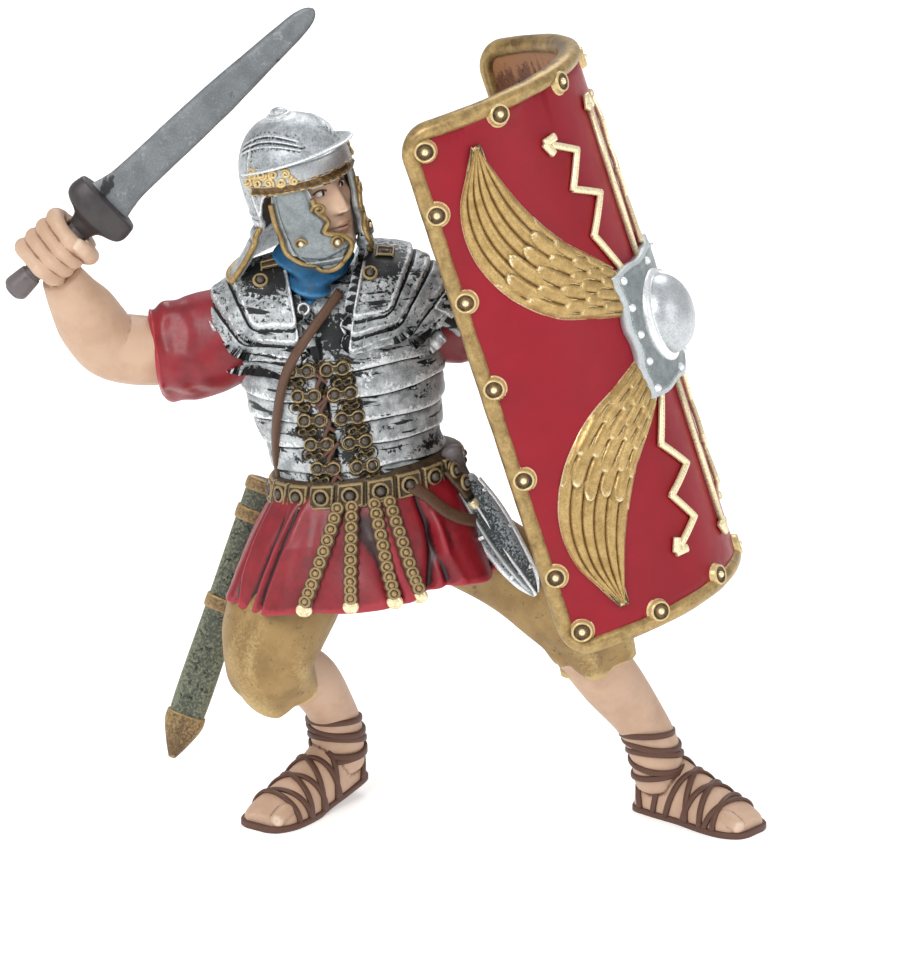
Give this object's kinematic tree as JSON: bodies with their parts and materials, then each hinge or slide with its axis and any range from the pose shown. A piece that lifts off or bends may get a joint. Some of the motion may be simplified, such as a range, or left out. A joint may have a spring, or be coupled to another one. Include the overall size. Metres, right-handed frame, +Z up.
{
  "type": "roman legionary figurine",
  "caption": "Moulded plastic legionary in segmented armour and crested-knob helmet, lunging with a raised short sword behind a curved rectangular shield.",
  "frame": {"origin": "middle of the bounding box on the level the soles stand on", "axes": "+Z up, the chest faces -Y, the sword arm is towards -X and the shield towards +X"},
  "size_m": [0.087, 0.0388, 0.0989],
  "materials": {
    "legionary": "hand-painted PVC, satin",
    "sword": "painted PVC, dull steel grey",
    "scabbard": "painted PVC, dark green-grey and bronze",
    "shield": "painted PVC, glossy dark red with gold relief"
  },
  "bodies": {
    "root": {"legionary": "legionary", "sword": "sword", "scabbard": "scabbard", "shield": "shield"}
  },
  "joints": []
}
